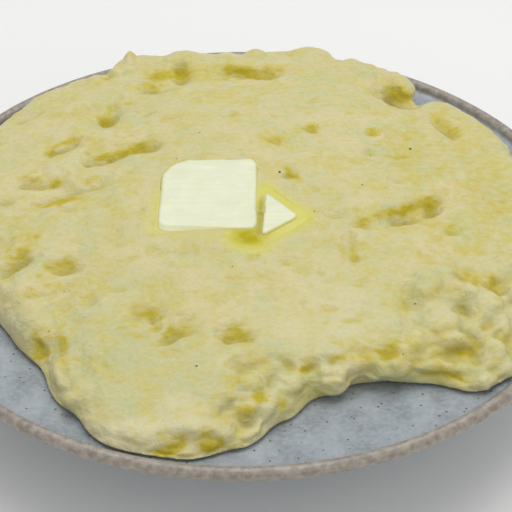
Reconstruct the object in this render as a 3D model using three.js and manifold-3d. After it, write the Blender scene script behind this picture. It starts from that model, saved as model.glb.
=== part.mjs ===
// Mashed potato side: a heap of mash in a wide-rimmed stoneware bowl, with a slice of butter
// and a small cut corner of butter sunk in its top. Millimetres, +Z up, the bowl's axis is Z
// and the table is z = 0. The heap leans over the bowl's flange and stops short of its rim.
import * as THREE from 'three';
import { mergeVertices } from 'three/addons/utils/BufferGeometryUtils.js';
import { ImprovedNoise } from 'three/addons/math/ImprovedNoise.js';
import Module from 'manifold-3d';

// Bowl
const bowlRadius = 120;
const bowlWall = 5;
const floorHeight = 9;
const floorRadius = 46;             // flat part of the well's floor
const wellTop = { radius: 79.5, height: 36.6 };      // where the wall has turned out into the flange
const flangeEnd = { radius: 114, height: 40 };       // where the flange meets the rim's bead
const rimBead = { height: 40.8, thickness: 4.4, from: -0.44 * Math.PI, to: 1.03 * Math.PI };
const beadContact = 3;              // points of the bead's inner side that the heap may lean on
const wallFoot = { radius: 60, height: 17.5 };
const wallHead = { radius: 68, height: 30.5 };
const footRing = { inner: 50, outer: 56.5, chamfer: 0.8 };
const bowlSides = 60;               // also of the heap's hidden underside, which follows the bowl
const curveSteps = 3;
const rimSteps = 4;

// Heap of mash
const gap = 0.35;                   // clearance between pieces that touch
const heapTop = 64;                 // apex of the cone that the heap follows
const heapSlope = 0.125;            // fall of its flanks, a little over 7 degrees
const heapBlunting = 15;            // radius over which the apex is rounded off
const heapCentreY = 25;             // the summit lies behind the butter
const heapRings = 29;
const ringSides = 6;                // more on each ring than on the one inside it
const ringCrowding = 1.25;          // over 1 draws the rings together towards the edge
const edgeLift = 1;                 // the edge overhangs its own foot by this much
const edgeRagged = 0.8;             // small in-and-out of the edge
const edgeWaves = 9;                // waves of it in a radian

// Where the heap ends on the flange: angle from +X in degrees, reach from the axis, and the
// width of the rounded shoulder that falls from the top to the edge
const heapEdge = [
  [-178, 101, 12], [-163, 97, 11], [-147, 93.5, 9], [-134, 95, 9], [-121, 105.5, 10],
  [-110, 115, 12], [-99, 114.6, 12], [-90, 107.5, 9], [-82, 95, 7], [-74, 86.5, 6],
  [-66, 84.5, 6], [-59, 87.5, 6], [-53.5, 96, 8], [-48, 112.5, 10], [-40, 114, 12],
  [-20, 110, 12], [-2, 112, 12], [14, 108, 12], [32, 109, 10], [41, 107.5, 8], [46, 97, 7],
  [51, 103.5, 8], [58, 111.5, 9], [67, 108, 10], [75, 113.5, 10], [83, 107.5, 9],
  [91, 104.5, 9], [99, 107.5, 10], [107, 109, 10], [113.5, 114.5, 9], [119, 108.5, 9],
  [131, 113, 12], [148, 111, 12], [166, 104, 12],
];

// Slits and pits left by the spoon: from, to, half-width, depth
const furrows = [
  [[-51, 46], [-49, 56], 4, 4], [[-72, 27], [-61, 35], 3, 2.6], [[-55, 22], [-33, 28], 3.4, 3.6],
  [[-79, 12.5], [-64, 10], 3.4, 2.6], [[-74, 1], [-50, 7], 3.4, 2.2], [[-86, 53], [-79, 57], 3, 2],
  [[-38, 70], [-31, 69], 3.4, 3], [[-25, 86], [-24, 75], 4, 4], [[-8, 83], [12, 80], 4, 4.5],
  [[54, 70], [63, 62], 5, 6], [[71, 52], [79, 42], 5, 2.5], [[49, -12], [67, -1], 3.6, 4.2],
  [[37, -20], [37, -33], 3, 2], [[73, -38], [88, -43], 4, 4.5], [[-59, -34], [-57, -34], 5, 3],
  [[-79, -35], [-72, -30], 3.6, 3], [[-59, -54], [-49, -90], 6, 2.4], [[-31, -58], [-29, -58], 5, 2.6],
  [[-27, -69], [-17, -64], 4, 3], [[-4, -68], [1, -67], 5, 3.4], [[-63, -73], [-60, -70], 7, 7],
  [[1, -99], [2, -95], 5, 6], [[-24, -111], [-10, -112], 5, 4],
];

// Crumbly patches: centre, radius and how rough, from 0 to 1
const crags = [
  { x: 84, y: -66, radius: 46, rough: 1 }, { x: 22, y: -94, radius: 26, rough: 1 },
  { x: -6, y: -102, radius: 24, rough: 0.8 }, { x: -70, y: -66, radius: 22, rough: 0.6 },
  { x: -20, y: 88, radius: 26, rough: 0.5 }, { x: 52, y: 74, radius: 26, rough: 0.5 },
];
const smoothRoughness = 0.1;        // what is left of the crumbs where the spoon has spread the top
const edgeRoughness = 0.55;
const edgeBand = 16;                // width of the rough band along the edge
const patchCore = 0.6;              // part of a patch's radius that is rough all over
const lumpSize = 14;                // spacing of the rounded crumbs
const lumpRadius = [0.5, 0.85];     // least and most, in spacings
const lumpHeight = 3;
const swellSize = 34;               // spacing of the broad rise and fall of the top
const swellHeight = 1.2;

// The spread top ends in a lip: beyond it, to the front and at the right corner, the mash is lower
const lip = { x: 50.5, backY: -46, frontY: -77, leftX: 0, drop: 3, run: 4 };

// Loose clumps pressed into the heap: angles, distance in from the edge, radius, how many, and the
// part of its radius that a clump's centre lies below the top. None lies on the spread top.
const clumpRuns = [
  { from: -56, to: -26, inset: [0, 32], radius: [6.5, 9.5], count: 17, sink: 0.45 },
  { from: -73, to: -56, inset: [-3, -1], radius: [5.5, 7.5], count: 5, sink: 1.1 },
  { from: -99, to: -83, inset: [0, 17], radius: [5.5, 7.5], count: 5, sink: 0.5 },
  { from: -146, to: -114, inset: [0, 5], radius: [5, 7], count: 3, sink: 0.5 },
  { from: 56, to: 132, inset: [3, 8], radius: [5, 6.5], count: 4, sink: 0.5 },
  { from: -22, to: 28, inset: [0, 12], radius: [5, 7.5], count: 3, sink: 0.5 },
  { from: 150, to: 208, inset: [0, 12], radius: [5, 7], count: 3, sink: 0.5 },
];
const clumpSeed = 20;
const clumpDent = 0.22;             // how far noise pushes a clump out of round
const clumpDentSize = 7;
const clumpStretch = { x: [0.9, 1.45], y: [0.8, 1.1], z: [0.7, 0.95] };
const clumpTilt = 0.4;              // most that a clump leans, in radians

// Butter
const sliceSize = { width: 31.5, depth: 35, thickness: 7, corner: 3.5, meltedCorner: 11 };
const slicePlace = { x: -12.2, y: -4.6, top: 60.9, tilt: 6.4, turn: -1 };
const cornerPoints = [[7.6, -2.6], [20.6, -13.6], [6.4, -24.6]];
const cornerSize = { thickness: 6, round: 2.2 };
const cornerPlace = { top: 59.9, tilt: 5, middleY: -13.6 };
const butterBevel = 0.6;
const pocketHeadroom = 8;           // the butter's pockets in the mash are cut this far above it

const wasm = await Module();
wasm.setup();
const ripple = new ImprovedNoise();

// The same sequence of draws on every run
function seededRandom(seed) {
  let state = seed;
  return () => {
    state = (state + 0x6D2B79F5) | 0;
    let t = Math.imul(state ^ (state >>> 15), 1 | state);
    t = (t + Math.imul(t ^ (t >>> 7), 61 | t)) ^ t;
    return ((t ^ (t >>> 14)) >>> 0) / 4294967296;
  };
}

const smooth = (value, low, high) => THREE.MathUtils.smoothstep(value, low, high);
const mix = THREE.MathUtils.lerp;

// ---- Bowl -------------------------------------------------------------------------------

// Inner surface from the axis to the rim, as radius and height
function innerProfile() {
  const path = new THREE.Path();
  path.moveTo(0, floorHeight);
  path.lineTo(floorRadius, floorHeight);
  const rise = (wallHead.height - wallFoot.height) / (wallHead.radius - wallFoot.radius);
  const heelRadius = wallFoot.radius - (wallFoot.height - floorHeight) / rise;
  path.quadraticCurveTo(heelRadius, floorHeight, wallFoot.radius, wallFoot.height);
  path.lineTo(wallHead.radius, wallHead.height);
  const flare = (flangeEnd.height - wellTop.height) / (flangeEnd.radius - wellTop.radius);
  const turnRun = (wellTop.height - wallHead.height - flare * (wellTop.radius - wallHead.radius))
    / (rise - flare);
  path.quadraticCurveTo(wallHead.radius + turnRun, wallHead.height + rise * turnRun,
    wellTop.radius, wellTop.height);
  path.lineTo(flangeEnd.radius, flangeEnd.height);
  return path.getPoints(curveSteps);
}

// The bead from under the flange round its outside and over to the flange's inner surface
function beadProfile() {
  const path = new THREE.Path();
  const half = rimBead.thickness / 2;
  path.absarc(bowlRadius - half, rimBead.height, half, rimBead.from, rimBead.to);
  return path.getPoints(rimSteps);
}

// A profile moved sideways along its normals, upwards for a positive distance
function offsetProfile(points, distance) {
  return points.map((point, i) => {
    const before = points[Math.max(i - 1, 0)];
    const after = points[Math.min(i + 1, points.length - 1)];
    const along = after.clone().sub(before).normalize();
    const normal = i === 0 ? new THREE.Vector2(0, 1) : new THREE.Vector2(-along.y, along.x);
    return point.clone().addScaledVector(normal, distance);
  });
}

function bowlGeometry() {
  const inner = innerProfile();
  const outer = offsetProfile(inner, -bowlWall);
  const underside = floorHeight - bowlWall;
  const { inner: ringIn, outer: ringOut, chamfer } = footRing;
  const profile = [
    new THREE.Vector2(0, underside), new THREE.Vector2(ringIn - chamfer, underside),
    new THREE.Vector2(ringIn, chamfer), new THREE.Vector2(ringIn + chamfer, 0),
    new THREE.Vector2(ringOut - chamfer, 0), new THREE.Vector2(ringOut, chamfer),
    ...outer.filter((point) => point.x > ringOut + chamfer), ...beadProfile(), ...inner.reverse(),
  ];
  return new THREE.LatheGeometry(profile, bowlSides).rotateX(Math.PI / 2);
}

// ---- Heap -------------------------------------------------------------------------------

// The bowl's inner surface and the inner side of its bead, raised by the clearance
const leanedOn = beadProfile().reverse().slice(0, beadContact);
const restProfile = offsetProfile([...innerProfile(), ...leanedOn], gap);

// Height of the bowl's inner surface, with the clearance, at a radius
function restHeight(radius) {
  const next = Math.max(restProfile.findIndex((point) => point.x >= radius), 1);
  const a = restProfile[next - 1];
  const b = restProfile[next];
  return mix(a.y, b.y, (radius - a.x) / (b.x - a.x));
}

// Reach and shoulder of the heap at an angle in radians
function edgeAt(angle) {
  let degrees = THREE.MathUtils.radToDeg(angle);
  while (degrees < heapEdge[0][0]) degrees += 360;
  while (degrees >= heapEdge[0][0] + 360) degrees -= 360;
  let i = heapEdge.length - 1;
  while (heapEdge[i][0] > degrees) i -= 1;
  const a = heapEdge[i];
  const b = i + 1 < heapEdge.length ? heapEdge[i + 1] : [heapEdge[0][0] + 360, ...heapEdge[0].slice(1)];
  const t = smooth(degrees, a[0], b[0]);
  const ragged = edgeRagged * ripple.noise(edgeWaves * Math.cos(angle), edgeWaves * Math.sin(angle), 0.5);
  return { reach: mix(a[1], b[1], t) + ragged, shoulder: mix(a[2], b[2], t) };
}

// The round-topped cone that the heap follows
function hill(x, y) {
  const away = Math.hypot(x, y - heapCentreY);
  return heapTop - heapSlope * Math.hypot(away, heapBlunting);
}

function lipDrop(x, y) {
  const pastRight = smooth(x, lip.x, lip.x + lip.run);
  const pastCorner = smooth(-y, -lip.backY, -lip.backY + lip.run);
  const pastFront = smooth(-y, -lip.frontY, -lip.frontY + lip.run);
  const rightOfLeftEnd = smooth(x, lip.leftX - 2 * lip.run, lip.leftX);
  return lip.drop * Math.max(pastRight * pastCorner, pastFront * rightOfLeftEnd);
}

function furrowDepth(x, y) {
  const point = new THREE.Vector3(x, y, 0);
  const nearest = new THREE.Vector3();
  let depth = 0;
  for (const [from, to, halfWidth, deepest] of furrows) {
    const line = new THREE.Line3(new THREE.Vector3(...from, 0), new THREE.Vector3(...to, 0));
    line.closestPointToPoint(point, true, nearest);
    const near = 1 - Math.min(nearest.distanceTo(point) / halfWidth, 1) ** 2;
    depth = Math.max(depth, deepest * near);
  }
  return depth;
}

// Rounded crumbs with creases between them, from 0 in a crease to 1 on a crown
function lumps(x, y) {
  const column = Math.floor(x / lumpSize);
  const row = Math.floor(y / lumpSize);
  let height = 0;
  for (let i = column - 1; i <= column + 1; i += 1) {
    for (let j = row - 1; j <= row + 1; j += 1) {
      const draw = seededRandom(i * 7919 + j * 104729);
      const centreX = (i + draw()) * lumpSize;
      const centreY = (j + draw()) * lumpSize;
      const radius = lumpSize * mix(...lumpRadius, draw());
      const near = 1 - ((x - centreX) ** 2 + (y - centreY) ** 2) / radius ** 2;
      height = Math.max(height, near);
    }
  }
  return Math.sqrt(height);
}

function roughness(x, y, inset) {
  let rough = Math.max(smoothRoughness, edgeRoughness * (1 - smooth(inset, 0, edgeBand)));
  for (const patch of crags) {
    const away = Math.hypot(x - patch.x, y - patch.y) / patch.radius;
    rough = Math.max(rough, patch.rough * (1 - smooth(away, patchCore, 1)));
  }
  return rough;
}

// Top of the heap at a point, inset from the edge by the given distance
function heapHeight(x, y, inset, shoulder) {
  const swell = swellHeight * ripple.noise(x / swellSize, y / swellSize, 7.3);
  const crumbs = lumpHeight * (lumps(x, y) - 0.5) * roughness(x, y, inset);
  const crown = hill(x, y) - lipDrop(x, y) - furrowDepth(x, y) + swell + crumbs;
  const foot = restHeight(Math.hypot(x, y)) + edgeLift;
  const fall = Math.min(inset / shoulder, 1);
  return foot + Math.max(crown - foot, edgeLift) * Math.sqrt(1 - (1 - fall) ** 2);
}

// Triangles between two closed rings of points, or a ring and its centre, that differ in number
function zip(triangles, outer, inner) {
  let i = 0;
  let j = 0;
  while (i < outer.length || j < inner.length) {
    const outerFirst = (i + 1) / outer.length <= (j + 1) / inner.length;
    const a = outer[i % outer.length];
    const b = inner[j % inner.length];
    if (outerFirst) {
      i += 1;
      if (outer.length > 1) triangles.push(a, outer[i % outer.length], b);
    } else {
      j += 1;
      if (inner.length > 1) triangles.push(a, inner[j % inner.length], b);
    }
  }
}

// Rings over the top, out to the edge, under it, and back in along the bowl's inner surface
function heapGeometry() {
  const points = [];
  const triangles = [];
  const addRing = (count, place) => {
    const ring = [];
    for (let i = 0; i < count; i += 1) {
      const angle = 2 * Math.PI * i / count;
      const { radius, height } = place(angle);
      ring.push(points.length / 3);
      points.push(radius * Math.cos(angle), radius * Math.sin(angle), height);
    }
    return ring;
  };
  const onTop = (share) => (angle) => {
    const { reach, shoulder } = edgeAt(angle);
    const radius = share * reach;
    const x = radius * Math.cos(angle);
    const y = radius * Math.sin(angle);
    return { radius, height: heapHeight(x, y, reach - radius, shoulder) };
  };
  const underEdge = (angle) => {
    const radius = edgeAt(angle).reach - edgeLift;
    return { radius, height: restHeight(radius) };
  };

  let last = addRing(1, onTop(0));
  for (let k = 1; k <= heapRings; k += 1) {
    const share = 1 - (1 - k / heapRings) ** ringCrowding;
    const ring = addRing(ringSides * k, onTop(share));
    zip(triangles, ring, last);
    last = ring;
  }
  const contact = addRing(last.length, underEdge);
  zip(triangles, contact, last);
  last = contact;
  for (const point of restProfile.filter((each) => each.x < wellTop.radius + 1).reverse()) {
    const ring = addRing(point.x > 0 ? bowlSides : 1, () => ({ radius: point.x, height: point.y }));
    zip(triangles, ring, last);
    last = ring;
  }
  const geometry = new THREE.BufferGeometry();
  geometry.setAttribute('position', new THREE.Float32BufferAttribute(points, 3));
  geometry.setIndex(triangles);
  return geometry;
}

// A rough ellipsoid of mash, turned at random
function clumpGeometry(radius, draw) {
  const geometry = new THREE.IcosahedronGeometry(radius, 1);
  const position = geometry.attributes.position;
  const seat = draw() * 100;
  for (let i = 0; i < position.count; i += 1) {
    const point = new THREE.Vector3().fromBufferAttribute(position, i);
    const [u, v, w] = point.clone().divideScalar(clumpDentSize);
    point.multiplyScalar(1 + clumpDent * ripple.noise(u, v, w + seat));
    position.setXYZ(i, ...point);
  }
  const stretch = [clumpStretch.x, clumpStretch.y, clumpStretch.z].map((range) => mix(...range, draw()));
  geometry.scale(...stretch);
  geometry.rotateX(mix(-clumpTilt, clumpTilt, draw()));
  geometry.rotateZ(draw() * Math.PI);
  return geometry;
}

function clumpGeometries() {
  const draw = seededRandom(clumpSeed);
  const clumps = [];
  for (const run of clumpRuns) {
    for (let i = 0; i < run.count; i += 1) {
      const angle = THREE.MathUtils.degToRad(mix(run.from, run.to, (i + draw()) / run.count));
      const { reach, shoulder } = edgeAt(angle);
      const radius = mix(...run.radius, draw());
      const inset = radius + mix(...run.inset, draw());
      const x = (reach - inset) * Math.cos(angle);
      const y = (reach - inset) * Math.sin(angle);
      const z = heapHeight(x, y, inset, shoulder) - run.sink * radius;
      const clump = clumpGeometry(radius, draw).translate(x, y, z);
      const onSpreadTop = x < lip.x + radius && y > lip.frontY + radius && y < 0;
      if (!onSpreadTop) clumps.push(clump);
    }
  }
  return clumps;
}

// ---- Butter -----------------------------------------------------------------------------

// A level slab of butter with its top at z = 0, larger all round by the clearance
function slab(shape, thickness, clearance, headroom) {
  return new THREE.ExtrudeGeometry(shape, {
    depth: thickness + clearance + headroom - 2 * butterBevel,
    bevelThickness: butterBevel,
    bevelSize: butterBevel,
    bevelOffset: clearance - butterBevel,
    bevelSegments: 1,
    curveSegments: 3,
  }).translate(0, 0, butterBevel - thickness - clearance);
}

function sliceShape() {
  const { width, depth, corner, meltedCorner } = sliceSize;
  const shape = new THREE.Shape();
  const x = width / 2;
  const y = depth / 2;
  shape.absarc(x - corner, corner - y, corner, -Math.PI / 2, 0);
  shape.absarc(x - corner, y - corner, corner, 0, Math.PI / 2);
  shape.absarc(meltedCorner - x, y - meltedCorner, meltedCorner, Math.PI / 2, Math.PI);
  shape.absarc(corner - x, corner - y, corner, Math.PI, 3 * Math.PI / 2);
  return shape;
}

// Three sides, each corner worn off by two short facets
function cornerShape() {
  const corners = cornerPoints.map(([x, y]) => new THREE.Vector2(x, y - cornerPlace.middleY));
  const outline = corners.flatMap((corner, i) => {
    const towards = (other) => other.clone().sub(corner).setLength(cornerSize.round).add(corner);
    const start = towards(corners[(i + 2) % 3]);
    const end = towards(corners[(i + 1) % 3]);
    const middle = start.clone().add(end).multiplyScalar(0.5).lerp(corner, 0.5);
    return [start, middle, end];
  });
  return new THREE.Shape(outline);
}

function placeSlice(geometry) {
  geometry.rotateZ(THREE.MathUtils.degToRad(slicePlace.turn));
  geometry.rotateX(THREE.MathUtils.degToRad(slicePlace.tilt));
  return geometry.translate(slicePlace.x, slicePlace.y, slicePlace.top);
}

function placeCorner(geometry) {
  geometry.rotateX(THREE.MathUtils.degToRad(cornerPlace.tilt));
  return geometry.translate(0, cornerPlace.middleY, cornerPlace.top);
}

const sliceGeometry = (clearance, headroom) => (
  placeSlice(slab(sliceShape(), sliceSize.thickness, clearance, headroom)));
const cornerGeometry = (clearance, headroom) => (
  placeCorner(slab(cornerShape(), cornerSize.thickness, clearance, headroom)));

// ---- Joining and cutting ----------------------------------------------------------------

function toSolid(geometry) {
  const bare = geometry.clone();
  bare.deleteAttribute('normal');
  bare.deleteAttribute('uv');
  const merged = mergeVertices(bare, 1e-4);
  return new wasm.Manifold(new wasm.Mesh({
    numProp: 3,
    vertProperties: merged.attributes.position.array,
    triVerts: new Uint32Array(merged.index.array),
  }));
}

function toGeometry(solid) {
  const { vertProperties, triVerts } = solid.getMesh();
  const geometry = new THREE.BufferGeometry();
  geometry.setAttribute('position', new THREE.BufferAttribute(vertProperties, 3));
  geometry.setIndex(new THREE.BufferAttribute(triVerts, 1));
  geometry.computeVertexNormals();
  return geometry;
}

// Everything below the bowl's inner surface, raised so that no clump lies right on it
function dishGeometry() {
  const surface = offsetProfile(innerProfile(), 1.5 * gap);
  const outside = bowlRadius + 2 * bowlWall;
  const profile = [
    new THREE.Vector2(0, 0), new THREE.Vector2(outside, 0),
    new THREE.Vector2(outside, flangeEnd.height), ...surface.reverse(),
  ];
  return new THREE.LatheGeometry(profile, bowlSides).rotateX(Math.PI / 2);
}

function mashGeometry() {
  const dish = toSolid(dishGeometry());
  let heap = toSolid(heapGeometry());
  for (const clump of clumpGeometries()) heap = heap.add(toSolid(clump).subtract(dish));
  heap = heap.subtract(toSolid(sliceGeometry(gap, pocketHeadroom)));
  heap = heap.subtract(toSolid(cornerGeometry(gap, pocketHeadroom)));
  return toGeometry(heap);
}

// ---- Object -----------------------------------------------------------------------------

function piece(name, geometry, material) {
  const mesh = new THREE.Mesh(geometry, new THREE.MeshStandardMaterial(material));
  mesh.name = name;
  return mesh;
}

const glaze = { color: 0x8a9298, roughness: 0.35, metalness: 0 };
const potato = { color: 0xd4cb99, roughness: 0.6, metalness: 0 };
const butter = { color: 0xe9ebd2, roughness: 0.4, metalness: 0 };

const side = new THREE.Group();
side.add(
  piece('bowl', bowlGeometry(), glaze),
  piece('mash', mashGeometry(), potato),
  piece('butter_slice', sliceGeometry(0, 0), butter),
  piece('butter_corner', cornerGeometry(0, 0), butter),
);
export default side;
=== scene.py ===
from math import cos, hypot, pi, radians, sin, tan

import bpy
import numpy as np
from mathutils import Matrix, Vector, noise
from mathutils.bvhtree import BVHTree


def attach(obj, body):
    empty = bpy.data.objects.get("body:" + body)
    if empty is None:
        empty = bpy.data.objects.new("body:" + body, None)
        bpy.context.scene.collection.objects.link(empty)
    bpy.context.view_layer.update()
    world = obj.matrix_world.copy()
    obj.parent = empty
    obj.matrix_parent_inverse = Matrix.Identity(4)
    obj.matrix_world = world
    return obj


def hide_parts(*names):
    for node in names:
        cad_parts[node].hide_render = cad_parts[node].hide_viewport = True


# A bowl of mashed potato with butter melting on it. Metres, +Z up, the bowl's axis is Z.

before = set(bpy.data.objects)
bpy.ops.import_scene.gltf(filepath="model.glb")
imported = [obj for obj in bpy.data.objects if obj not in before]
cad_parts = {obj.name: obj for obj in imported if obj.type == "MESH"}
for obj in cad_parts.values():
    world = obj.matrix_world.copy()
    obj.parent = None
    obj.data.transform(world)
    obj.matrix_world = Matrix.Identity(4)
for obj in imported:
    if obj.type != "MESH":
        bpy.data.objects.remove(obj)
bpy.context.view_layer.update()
mm = 0.001
sightTilt = radians(38)  # how steeply a diner looks down at the bowl
castHeight = 200 * mm    # lines cast straight down start here, above everything


# small helpers

def linear(hexCode, alpha=1.0):  # sRGB hex to the linear colour that shaders take
    channels = [int(hexCode[i:i + 2], 16) / 255 for i in (1, 3, 5)]
    curved = [c / 12.92 if c <= 0.04045 else ((c + 0.055) / 1.055) ** 2.4 for c in channels]
    return (*curved, alpha)


def smoothStep(value, low, high):
    t = np.clip((value - low) / (high - low), 0, 1)
    return t * t * (3 - 2 * t)


def selectOnly(piece):
    if bpy.context.object and bpy.context.object.mode != "OBJECT":
        bpy.ops.object.mode_set(mode="OBJECT")
    bpy.ops.object.select_all(action="DESELECT")
    piece.select_set(True)
    bpy.context.view_layer.objects.active = piece


def startEdit(piece, action, elements=None):  # edit mode, with everything selected or nothing
    selectOnly(piece)
    bpy.ops.object.mode_set(mode="EDIT")
    if elements:
        bpy.ops.mesh.select_mode(type=elements)
    bpy.ops.mesh.select_all(action=action)


def endEdit():
    bpy.ops.object.mode_set(mode="OBJECT")


def applyModifier(piece, kind, **settings):
    selectOnly(piece)
    modifier = piece.modifiers.new(kind.title(), kind)
    for name, value in settings.items():
        setattr(modifier, name, value)
    bpy.ops.object.modifier_apply(modifier=modifier.name)


def settle(piece):  # the place goes into the mesh
    selectOnly(piece)
    bpy.ops.object.transform_apply(location=True, rotation=True, scale=True)


def readPoints(piece):
    points = np.empty(len(piece.data.vertices) * 3)
    piece.data.vertices.foreach_get("co", points)
    return points.reshape(-1, 3)


def readNormals(piece):
    normals = np.empty(len(piece.data.vertices) * 3)
    piece.data.vertices.foreach_get("normal", normals)
    return normals.reshape(-1, 3)


def writePoints(piece, points):
    piece.data.vertices.foreach_set("co", points.ravel())
    piece.data.update()


def paint(piece, name, values):  # one number for each vertex, for a material to read
    attribute = piece.data.attributes.new(name, "FLOAT", "POINT")
    attribute.data.foreach_set("value", np.asarray(values, dtype=np.float32))


def weigh(piece, name, values):  # a vertex group, in steps fine enough for a modifier
    group = piece.vertex_groups.new(name=name)
    steps = np.round(np.clip(values, 0, 1) * 20).astype(int)
    for step in range(1, 21):
        group.add(np.flatnonzero(steps == step).tolist(), step / 20, "REPLACE")


def ripple(points, size, seat=0.0):  # smooth noise from -1 to 1: its spacing in metres, and a shift
    return np.array([noise.noise(Vector(point) / size + Vector((seat, seat, seat))) for point in points])


def strayed(values, points, ripples):  # values in millimetres, each ripple's reach, spacing and shift
    for reach, size, seat in ripples:
        values = values + reach * ripple(points, size * mm, seat)
    return values


def crumbs(points, size, seat=0.0):  # rounded lumps with soft creases between them, 0 in a crease
    strayShare, creaseWidth = 0.28, 0.75  # both as shares of a lump
    wander = np.stack([ripple(points, size, seat + shift) for shift in (11, 23, 37)], 1)
    heights = np.empty(len(points))
    for i, point in enumerate(points + strayShare * size * wander):
        near = noise.voronoi(Vector(point) / size + Vector((seat, seat, seat)))[0]
        heights[i] = near[1] - near[0]
    return smoothStep(heights, 0, creaseWidth)


def besideLine(x, y, fromX, fromY, toX, toY):  # share along the line, how far from it, on which side
    runX, runY = toX - fromX, toY - fromY
    share = np.clip(((x - fromX) * runX + (y - fromY) * runY) / (runX ** 2 + runY ** 2), 0, 1)
    awayX, awayY = x - fromX - share * runX, y - fromY - share * runY
    return share, np.hypot(awayX, awayY), np.sign(awayX * runY - awayY * runX)


def rayTree(piece):
    return BVHTree.FromObject(piece, bpy.context.evaluated_depsgraph_get())


def castDown(tree, x, y):  # where the piece's top is met, and its normal there
    return tree.ray_cast(Vector((x, y, castHeight)), Vector((0, 0, -1)))[:2]


def relaxed(piece, values, rounds):  # values averaged with their neighbours over and over
    edges = np.empty(len(piece.data.edges) * 2, dtype=np.int32)
    piece.data.edges.foreach_get("vertices", edges)
    a, b = edges.reshape(-1, 2).T
    count = len(values)
    degree = np.bincount(a, minlength=count) + np.bincount(b, minlength=count)
    for _ in range(rounds):
        around = np.bincount(a, values[b], count) + np.bincount(b, values[a], count)
        values = 0.4 * values + 0.6 * around / np.maximum(degree, 1)
    return values


def addNode(tree, kind, settings=None, links=None):
    node = tree.nodes.new(kind)
    for name, value in (settings or {}).items():
        if name == "stops":
            ramp = node.color_ramp
            while len(ramp.elements) < len(value):
                ramp.elements.new(0.5)
            for element, (place, colour) in zip(ramp.elements, value):
                element.position = place
                element.color = colour
        elif isinstance(name, int) or name in node.inputs:
            node.inputs[name].default_value = value
        else:
            setattr(node, name, value)
    for name, source in (links or {}).items():
        tree.links.new(source, node.inputs[name])
    return node


def startMaterial(name, **shaderSettings):
    material = bpy.data.materials.new(name)
    material.use_nodes = True
    tree = material.node_tree
    shader = tree.nodes["Principled BSDF"]
    for socket, value in shaderSettings.items():
        shader.inputs[socket.replace("_", " ")].default_value = value
    return material, tree, shader


def coat(tree, base, *layers):  # each layer is its mask, its colour as hex or socket, and its strength
    for mask, colour, *strength in layers:
        if strength:
            mask = addNode(tree, "ShaderNodeMath", {"operation": "MULTIPLY", 1: strength[0]},
                           {0: mask}).outputs[0]
        mix = addNode(tree, "ShaderNodeMix", {"data_type": "RGBA"}, {0: mask})
        for index, value in ((6, base), (7, colour)):
            if isinstance(value, str):
                mix.inputs[index].default_value = linear(value)
            else:
                tree.links.new(value, mix.inputs[index])
        base = mix.outputs[2]
    return base


def finishShader(tree, shader, colour, rough, *relief):  # each relief is its strength, depth and height
    tree.links.new(colour, shader.inputs["Base Color"])
    if rough:
        tree.links.new(rough, shader.inputs["Roughness"])
    links = {}
    for strength, depth, height in relief:
        bump = addNode(tree, "ShaderNodeBump", {"Strength": strength, "Distance": depth},
                       {"Height": height, **links})
        links = {"Normal": bump.outputs[0]}
        tree.links.new(bump.outputs[0], shader.inputs["Normal"])


# noise cut to 0..1 between two levels, size is its spacing in metres
def noiseBand(tree, place, size, low, high, detail=3.0, stretch=(1, 1, 1)):
    scaled = addNode(tree, "ShaderNodeMapping", {"Scale": stretch}, {"Vector": place})
    texture = addNode(tree, "ShaderNodeTexNoise", {"Scale": 1 / size, "Detail": detail},
                      {"Vector": scaled.outputs[0]})
    band = addNode(tree, "ShaderNodeMapRange", {"From Min": low, "From Max": high},
                   {"Value": texture.outputs[0]})
    return band.outputs[0]


def dress(piece, material, slot, *nodes):
    piece.data.materials.clear()
    piece.data.materials.append(material)
    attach(piece, "root")
    if nodes:
        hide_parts(*nodes)


def smoothShade(piece):
    selectOnly(piece)
    bpy.ops.object.shade_smooth()


# bowl: thrown stoneware, its well turned out into a wide flange with a beaded rim

bowlSizes = {
    "radius": 120 * mm,
    "wall": 5 * mm,
    "floor": (46 * mm, 9 * mm),        # where the flat of the well ends, and its height
    "wallFoot": (60 * mm, 17.5 * mm),
    "wallHead": (68 * mm, 30.5 * mm),
    "wellTop": (79.5 * mm, 36.6 * mm),
    "flangeEnd": (114 * mm, 40 * mm),
    "beadHeight": 40.8 * mm,
    "beadThickness": 4.4 * mm,
    "beadArc": (1.03 * pi, -0.44 * pi),
    "footRing": (50 * mm, 56.5 * mm),
    "footRound": 0.8 * mm,
    "segments": 224,
    "unevenness": 0.12 * mm,           # of a form turned by hand
    "unevenSize": 30 * mm,
}


def bezier(start, handle, end, steps):
    a, b, c = (np.array(point) for point in (start, handle, end))
    return [tuple((1 - t) ** 2 * a + 2 * t * (1 - t) * b + t * t * c) for t in np.linspace(0, 1, steps)]


def bowlInner(sizes):  # from the floor to the flange's end, as radius and height
    (floorR, floorZ), (footR, footZ), (headR, headZ) = sizes["floor"], sizes["wallFoot"], sizes["wallHead"]
    (wellR, wellZ), (endR, endZ) = sizes["wellTop"], sizes["flangeEnd"]
    rise = (headZ - footZ) / (headR - footR)
    flare = (endZ - wellZ) / (endR - wellR)
    heelR = footR - (footZ - floorZ) / rise
    turn = (wellZ - headZ - flare * (wellR - headR)) / (rise - flare)
    curve = [(floorR * share, floorZ) for share in (0.03, 0.3, 0.7)]
    curve += bezier((floorR, floorZ), (heelR, floorZ), (footR, footZ), 9)
    curve += bezier((headR, headZ), (headR + turn, headZ + rise * turn), (wellR, wellZ), 10)
    curve += [(wellR + (endR - wellR) * share, wellZ + (endZ - wellZ) * share)
              for share in (0.15, 0.3, 0.5, 0.7, 0.85, 1)]
    return curve


def offsetCurve(curve, distance):
    points = np.array(curve)
    along = np.gradient(points, axis=0)
    along /= np.linalg.norm(along, axis=1)[:, None]
    return [tuple(point) for point in points + distance * np.stack([-along[:, 1], along[:, 0]], 1)]


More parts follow.
